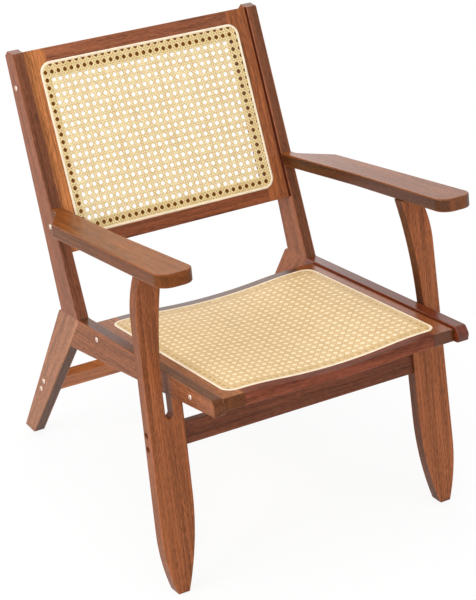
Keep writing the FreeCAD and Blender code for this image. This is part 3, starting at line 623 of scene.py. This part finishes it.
def reed_spline(half_width, half_length):
    """Rounded ring of reed about the origin, its sides straight down into the groove."""
    reed = bmesh.new()
    bmesh.ops.create_grid(reed, x_segments=1, y_segments=1, size=1)
    bmesh.ops.scale(reed, verts=reed.verts[:], vec=(half_width, half_length, 1))
    bmesh.ops.bevel(reed, geom=reed.verts[:], offset=SPLINE_CORNER, affect="VERTICES",
                    segments=CORNER_STEPS, profile=0.5, material=-1)
    lifts = [SPLINE_CROWN * math.sin(math.pi * step / CROWN_STEPS)
             for step in range(CROWN_STEPS + 1)]
    top = reed.faces[:]
    for low, high in zip(lifts, lifts[1:]):
        bmesh.ops.inset_region(reed, faces=top, thickness=SPLINE_WIDTH / CROWN_STEPS,
                               depth=high - low, use_boundary=True, use_even_offset=True)
    bmesh.ops.delete(reed, geom=top, context="FACES")
    rims = [edge for edge in reed.edges if edge.is_boundary]
    sunk = bmesh.ops.extrude_edge_only(reed, edges=rims)["geom"]
    corners = [item for item in sunk if isinstance(item, bmesh.types.BMVert)]
    bmesh.ops.translate(reed, verts=corners, vec=(0, 0, -SPLINE_DEPTH))
    bmesh.ops.bridge_loops(reed, edges=[edge for edge in reed.edges if edge.is_boundary])
    lengthwise = [edge for edge in reed.edges
                  if abs(edge.verts[0].co.x - edge.verts[1].co.x) > half_width]
    bmesh.ops.subdivide_edges(reed, edges=lengthwise, cuts=SIDE_CUTS, use_grid_fill=True)
    bmesh.ops.recalc_face_normals(reed, faces=reed.faces[:])
    for face in reed.faces:
        face.smooth = face.normal.z > REED_FACING
    return reed


spline_finish = mottled_finish("spline_finish", [part * REED_SHADE for part in REED], REED,
                               REED_SCALE, REED_ROUGHNESS, REED_LEVELS)
back_reed = reed_spline(BACK_HALF[0] + SPLINE_WIDTH / 2, BACK_HALF[1] + SPLINE_WIDTH / 2)
bmesh.ops.transform(back_reed, verts=back_reed.verts[:], matrix=back_place)
finished_piece("back_spline_reed", back_reed, spline_finish, "spline", "back_spline")
seat_reed = reed_spline(SEAT_HALF[0] + SPLINE_WIDTH / 2, SEAT_HALF[1] + SPLINE_WIDTH / 2)
hollow_out(seat_reed)
bmesh.ops.transform(seat_reed, verts=seat_reed.verts[:], matrix=seat_place)
finished_piece("seat_spline_reed", seat_reed, spline_finish, "spline", "seat_spline")


# Bolts. Plated domed heads with a hex socket, screwed from outside through the
# frames into the panels' inserts and through the legs into the stretchers' nuts.
HEAD_RADIUS = 0.00575
HEAD_RIM = 0.0008
HEAD_HEIGHT = 0.0024
SOCKET_RADIUS = 0.002
SOCKET_DEPTH = 0.0014
SHANK_RADIUS = 0.003
DOME_STEPS = ((0.0008, 0.0007), (0.0012, 0.0006), (HEAD_RADIUS - 0.002 - SOCKET_RADIUS, 0.0003))
DOME_FACING = (0.3, 0.999)
SOCKET_TAPER = 0.0001
HEAD_SIDES = 24
BRUSHING_SCALE = 900.0
BRUSHING_SPREAD = 0.08


def domed_bolt(shank_length):
    """Bolt along X with its seat at the origin and its head towards +X."""
    bolt = bmesh.new()
    bmesh.ops.create_circle(bolt, cap_ends=True, segments=HEAD_SIDES, radius=HEAD_RADIUS)
    crown = bolt.faces[:]
    edges = [edge for edge in bolt.edges if edge.is_boundary]
    foot = bmesh.ops.extrude_edge_only(bolt, edges=edges)["geom"]
    rim = [item for item in foot if isinstance(item, bmesh.types.BMVert)]
    bmesh.ops.translate(bolt, verts=rim, vec=(0, 0, -HEAD_RIM))
    for inset, rise in DOME_STEPS:
        bmesh.ops.inset_region(bolt, faces=crown, thickness=inset, depth=rise)
    for corner in crown[0].verts:
        angle = math.atan2(corner.co.y, corner.co.x)
        flat = (angle + math.pi / 6) % (math.pi / 3) - math.pi / 6
        reach = SOCKET_RADIUS / math.cos(flat) / math.hypot(corner.co.x, corner.co.y)
        corner.co.x *= reach
        corner.co.y *= reach
    bmesh.ops.inset_region(bolt, faces=crown, thickness=SOCKET_TAPER, depth=-SOCKET_DEPTH)
    bmesh.ops.translate(bolt, verts=bolt.verts[:], vec=(0, 0, HEAD_RIM))
    edges = [edge for edge in bolt.edges if edge.is_boundary]
    bottom = bmesh.ops.holes_fill(bolt, edges=edges, sides=0)["faces"]
    bmesh.ops.inset_region(bolt, faces=bottom, thickness=HEAD_RADIUS - SHANK_RADIUS)
    shank = bmesh.ops.extrude_discrete_faces(bolt, faces=bottom)["faces"]
    bmesh.ops.translate(bolt, verts=shank[0].verts[:], vec=(0, 0, -shank_length))
    bmesh.ops.recalc_face_normals(bolt, faces=bolt.faces[:])
    for face in bolt.faces:
        face.smooth = DOME_FACING[0] < face.normal.z < DOME_FACING[1]
    bmesh.ops.rotate(bolt, verts=bolt.verts[:], matrix=Matrix.Rotation(math.radians(90), 3, "Y"))
    mesh = bpy.data.meshes.new("bolt")
    bolt.to_mesh(mesh)
    bolt.free()
    return mesh


def plated_metal(name, colour, roughness):
    """Bright plating with a fine brushing."""
    material = bpy.data.materials.new(name)
    material.use_nodes = True
    tree = material.node_tree
    surface = tree.nodes["Principled BSDF"]
    surface.inputs["Base Color"].default_value = linear_colour(*colour)
    surface.inputs["Metallic"].default_value = 1.0
    place = tree.nodes.new("ShaderNodeTexCoord")
    brushing = tree.nodes.new("ShaderNodeTexNoise")
    brushing.inputs["Scale"].default_value = BRUSHING_SCALE
    tree.links.new(place.outputs["Object"], brushing.inputs["Vector"])
    spread = tree.nodes.new("ShaderNodeMapRange")
    spread.inputs["To Min"].default_value = roughness - BRUSHING_SPREAD
    spread.inputs["To Max"].default_value = roughness + BRUSHING_SPREAD
    tree.links.new(brushing.outputs["Fac"], spread.inputs["Value"])
    tree.links.new(spread.outputs["Result"], surface.inputs["Roughness"])
    return material


bolt_finish = plated_metal("bolt_finish", (236, 214, 200), 0.3)


def bolt_set(node, rising, shank_length):
    """Two bolts a side at the ends of a CAD node's box; rising if the rear one is the higher."""
    low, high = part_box(node)
    front, rear = low.y + HEAD_RADIUS, high.y - HEAD_RADIUS
    bottom, top = low.z + HEAD_RADIUS, high.z - HEAD_RADIUS
    spots = ((front, bottom), (rear, top)) if rising else ((front, top), (rear, bottom))
    mesh = domed_bolt(shank_length)
    group = bmesh.new()
    for side in (0, 180):
        for y, z in spots:
            before = len(group.verts)
            group.from_mesh(mesh)
            group.verts.ensure_lookup_table()
            turn = Matrix.Rotation(math.radians(side), 4, "Z")
            seat = math.cos(math.radians(side)) * (high.x - HEAD_HEIGHT)
            bmesh.ops.transform(group, verts=group.verts[before:],
                                matrix=Matrix.Translation((seat, y, z)) @ turn)
    finished_piece(node + "_plated", group, bolt_finish, "bolt_metal", node)


PANEL_SHANK = 0.0394
REAR_SHANK = 0.061
FRONT_SHANK = 0.0751
bolt_set("back_panel_bolts", True, PANEL_SHANK)
bolt_set("seat_panel_bolts", False, PANEL_SHANK)
bolt_set("rear_stretcher_bolts", False, REAR_SHANK)
bolt_set("front_stretcher_bolts", True, FRONT_SHANK)


# Inserts, barrel nuts and dowels. They hold the joints together inside the wood,
# zinc-plated steel for the threads and plain beech for the dowels.
BEECH = (190, 156, 112)
BEECH_ROUGHNESS = 0.6
nut_finish = plated_metal("nut_finish", (190, 188, 182), 0.35)
dress(nut_finish, "panel_inserts", "barrel_nuts")
for piece in ("panel_dowels", "frame_dowels", "leg_dowels", "arm_dowels"):
    lacquered_board(piece, BEECH, ALONG_X, roughness=BEECH_ROUGHNESS)


# Floor glides. White moulded nylon buttons, pressed by their pins into the four feet,
# so that the wood's end grain stays clear of the floor.
NYLON = (236, 236, 230)
NYLON_SHADE = 0.92
SCUFF_SCALE = 300.0
NYLON_ROUGHNESS = 0.5
glide_finish = mottled_finish("glide_finish", [part * NYLON_SHADE for part in NYLON], NYLON,
                              SCUFF_SCALE, NYLON_ROUGHNESS)
dress(glide_finish, "floor_glides")


# Studio. A plain floor and background that look white, four soft lamps, the strongest
# from the left and the others from the front, the back and above, and the camera.
CAMERA_PLACE = (-1.92890, -3.16597, 2.30439)
CAMERA_ELEVATION = 27.145
CAMERA_AZIMUTH = -31.513
CAMERA_LENS = 124.40
CAMERA_SENSOR = 36.0
LAMP_AIM = Vector((0, 0, 0.45))
WORLD_STRENGTH = 0.65
FLOOR_HALF = 30
FLOOR_PAINT = 0.9
FLOOR_ROUGHNESS = 0.9
SHADOW_REACH = (0.4, 0.9)
SHADOW_COVER = 0.86

camera = bpy.data.objects.new("camera", bpy.data.cameras.new("camera"))
camera.location = CAMERA_PLACE
camera.rotation_euler = (math.radians(90 - CAMERA_ELEVATION), 0, math.radians(CAMERA_AZIMUTH))
camera.data.lens = CAMERA_LENS
camera.data.sensor_width = CAMERA_SENSOR
bpy.context.scene.collection.objects.link(camera)
bpy.context.scene.camera = camera


def soft_light(name, place, size, power):
    """Square area lamp aimed at the middle of the chair."""
    lamp = bpy.data.objects.new(name, bpy.data.lights.new(name, "AREA"))
    lamp.data.size = size
    lamp.data.energy = power
    lamp.location = place
    aim = LAMP_AIM - Vector(place)
    lamp.rotation_euler = aim.to_track_quat("-Z", "Y").to_euler()
    bpy.context.scene.collection.objects.link(lamp)


soft_light("key_light", (-3.4, -0.2, 2.2), 2.4, 66)
soft_light("back_light", (0.9, 3.6, 2.4), 3.0, 45)
soft_light("front_light", (-2.2, -3.6, 2.6), 2.4, 50)
soft_light("top_light", (0, -0.4, 4.2), 2.8, 40)


def white_where_seen(tree, shade, glow, cover=None):
    """White for the camera, mirrors and glass, the given shade for other rays.

    cover is the share of white, where it is less than the whole.
    """
    path = tree.nodes.new("ShaderNodeLightPath")
    seen = path.outputs["Is Camera Ray"]
    steps = [("MAXIMUM", path.outputs["Is Glossy Ray"]),
             ("MAXIMUM", path.outputs["Is Transmission Ray"])]
    if cover is not None:
        steps.append(("MULTIPLY", cover))
    for operation, other in steps:
        step = tree.nodes.new("ShaderNodeMath")
        step.operation = operation
        tree.links.new(seen, step.inputs[0])
        tree.links.new(other, step.inputs[1])
        seen = step.outputs["Value"]
    mix = tree.nodes.new("ShaderNodeMixShader")
    white = tree.nodes.new(glow)
    white.inputs["Color"].default_value = (1, 1, 1, 1)
    white.inputs["Strength"].default_value = 1.0
    tree.links.new(seen, mix.inputs["Fac"])
    tree.links.new(shade, mix.inputs[1])
    tree.links.new(white.outputs[0], mix.inputs[2])
    return mix.outputs[0]


world = bpy.data.worlds.new("studio")
world.use_nodes = True
bpy.context.scene.world = world
ambient = world.node_tree.nodes["Background"]
ambient.inputs["Color"].default_value = (1, 1, 1, 1)
ambient.inputs["Strength"].default_value = WORLD_STRENGTH
world.node_tree.links.new(
    white_where_seen(world.node_tree, ambient.outputs[0], "ShaderNodeBackground"),
    world.node_tree.nodes["World Output"].inputs["Surface"])

floor_mesh = bmesh.new()
bmesh.ops.create_grid(floor_mesh, x_segments=1, y_segments=1, size=FLOOR_HALF)
floor_data = bpy.data.meshes.new("floor")
floor_mesh.to_mesh(floor_data)
floor_mesh.free()
floor = bpy.data.objects.new("floor", floor_data)
bpy.context.scene.collection.objects.link(floor)
floor_white = bpy.data.materials.new("floor_white")
floor_white.use_nodes = True
floor_tree = floor_white.node_tree
paint = floor_tree.nodes["Principled BSDF"]
paint.inputs["Base Color"].default_value = (FLOOR_PAINT, FLOOR_PAINT, FLOOR_PAINT, 1)
paint.inputs["Roughness"].default_value = FLOOR_ROUGHNESS
floor_place = floor_tree.nodes.new("ShaderNodeTexCoord")
from_chair = floor_tree.nodes.new("ShaderNodeVectorMath")
from_chair.operation = "LENGTH"
floor_tree.links.new(floor_place.outputs["Object"], from_chair.inputs[0])
cover = floor_tree.nodes.new("ShaderNodeMapRange")
cover.inputs["From Min"].default_value = SHADOW_REACH[0]
cover.inputs["From Max"].default_value = SHADOW_REACH[1]
cover.inputs["To Min"].default_value = SHADOW_COVER
floor_tree.links.new(from_chair.outputs["Value"], cover.inputs["Value"])
floor_tree.links.new(
    white_where_seen(floor_tree, paint.outputs[0], "ShaderNodeEmission", cover.outputs["Result"]),
    floor_tree.nodes["Material Output"].inputs["Surface"])
floor_data.materials.append(floor_white)

bpy.context.scene.view_settings.view_transform = "Standard"
